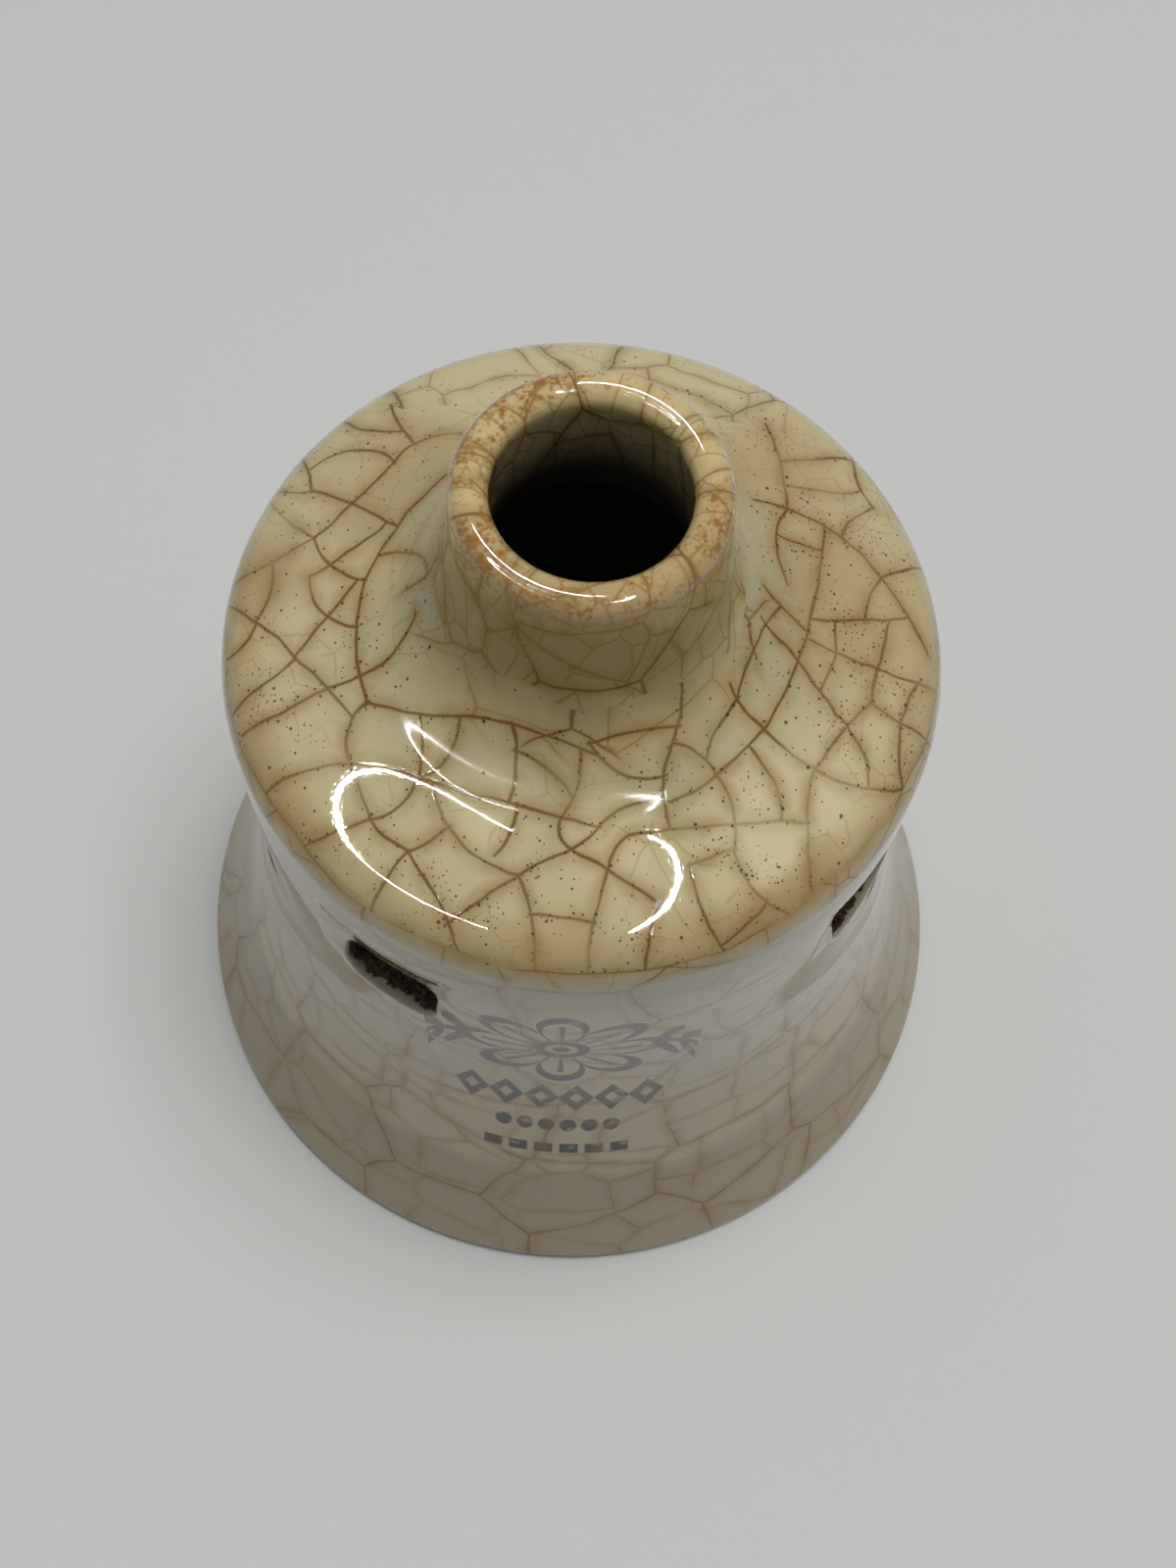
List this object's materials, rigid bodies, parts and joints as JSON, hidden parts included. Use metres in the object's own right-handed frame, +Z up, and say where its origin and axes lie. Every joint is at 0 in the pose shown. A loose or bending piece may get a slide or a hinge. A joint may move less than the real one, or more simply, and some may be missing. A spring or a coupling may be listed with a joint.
{
  "type": "pie funnel",
  "caption": "Glazed earthenware pie funnel: a hollow bell on a flared foot, a sloping shoulder with steam vents below it, and a short open neck.",
  "frame": {"origin": "middle of the flat foot, on the surface that the funnel stands on", "axes": "+Z up through the neck; -Y towards the side that carries the printed ornament"},
  "size_m": [0.074, 0.074, 0.0842],
  "materials": {
    "cream_glaze": "glossy cream glaze with brown crazing, pinholes and baked-on stains"
  },
  "bodies": {
    "root": {"funnel_body": "cream_glaze"}
  },
  "joints": []
}
